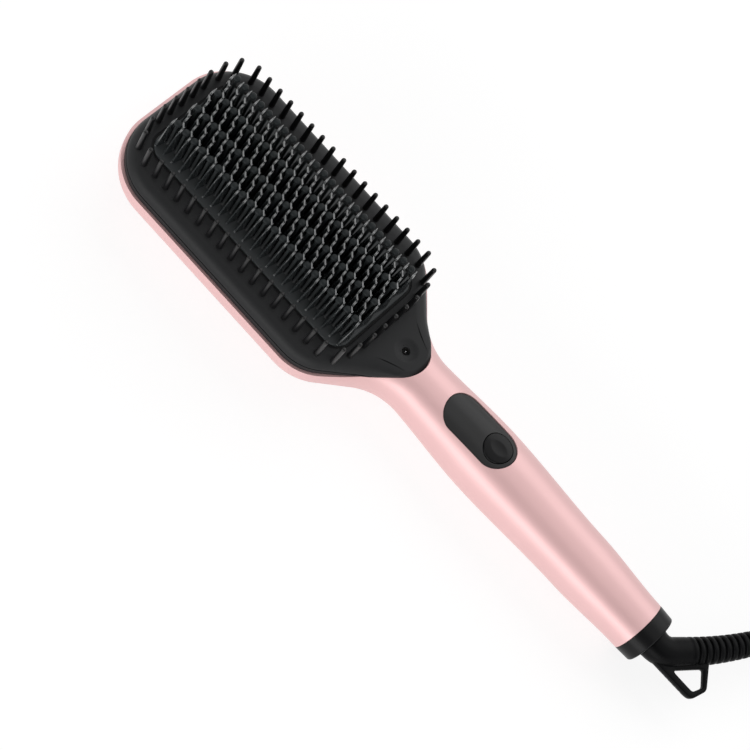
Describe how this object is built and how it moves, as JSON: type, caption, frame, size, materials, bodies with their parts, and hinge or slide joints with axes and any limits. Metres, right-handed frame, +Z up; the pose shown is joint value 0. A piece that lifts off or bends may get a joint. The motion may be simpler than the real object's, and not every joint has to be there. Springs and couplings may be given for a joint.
{
  "type": "hair straightening brush",
  "caption": "Corded heated hair brush: paddle head with a field of heated fins and ball-tipped bristles inside a ring of guard pins, handle with press button and swivel cord.",
  "frame": {"origin": "on the floor under the middle of the brush (cord left out), which lies on its back", "axes": "+X from head to handle end, +Z up through the teeth"},
  "size_m": [0.4422, 0.124, 0.0449],
  "materials": {
    "pink_case": "satin",
    "black_bezel": "fine matte",
    "black_pin": "satin",
    "coated_plate": "glossy black ceramic coat",
    "grey_tip": "matte",
    "black_stem": "satin",
    "seal": "matte",
    "carrier": "matte",
    "steel": "bright",
    "ceramic": "matte fired",
    "mica": "satin",
    "potting": "matte",
    "panel_black": "satin",
    "button_black": "satin",
    "board": "satin",
    "component": "matte",
    "collar_black": "satin",
    "brass": "plain",
    "carbon": "matte",
    "cord_black": "satin",
    "plug_black": "satin",
    "nickel": "bright"
  },
  "bodies": {
    "brush": {"front_shell": "pink_case", "back_cover": "pink_case", "front_bezel": "black_bezel", "guard_pins": "black_pin", "heating_plate": "coated_plate", "heating_fins": "coated_plate", "bristle_stems": "black_stem", "bristle_tips": "grey_tip", "plate_seal": "seal", "plate_carrier": "carrier", "carrier_screws": "steel", "heater_element": "ceramic", "mica_sheet": "mica", "heater_clamp": "steel", "clamp_screws": "steel", "thermal_fuse": "steel", "thermistor": "ceramic", "case_screws": "steel", "ion_generator": "potting", "ion_socket": "carrier", "ion_needle": "steel", "control_panel": "panel_black", "control_board": "board", "tact_switch": "component", "display_module": "component", "board_relay": "component", "board_capacitor": "component", "board_screws": "steel", "end_collar": "collar_black", "contact_block": "carrier", "contact_brushes": "carbon", "power_cord": "cord_black", "cord_coil": "cord_black", "cord_tie": "black_stem", "plug_body": "plug_black", "plug_pins": "nickel"},
    "button": {"power_button": "button_black"},
    "swivel": {"swivel_hub": "carrier", "slip_rings": "brass", "cord_boot": "cord_black"}
  },
  "joints": [
    {"name": "button_press", "type": "slide", "parent": "brush", "child": "button", "axis": [0, 0, 1], "range_m": [-0.0008, 0], "stiffness_N_per_m": 600},
    {"name": "cord_swivel", "type": "hinge", "parent": "brush", "child": "swivel", "pos_m": [0.1348, 0, 0.0145], "axis": [1, 0, 0], "continuous": true}
  ]
}
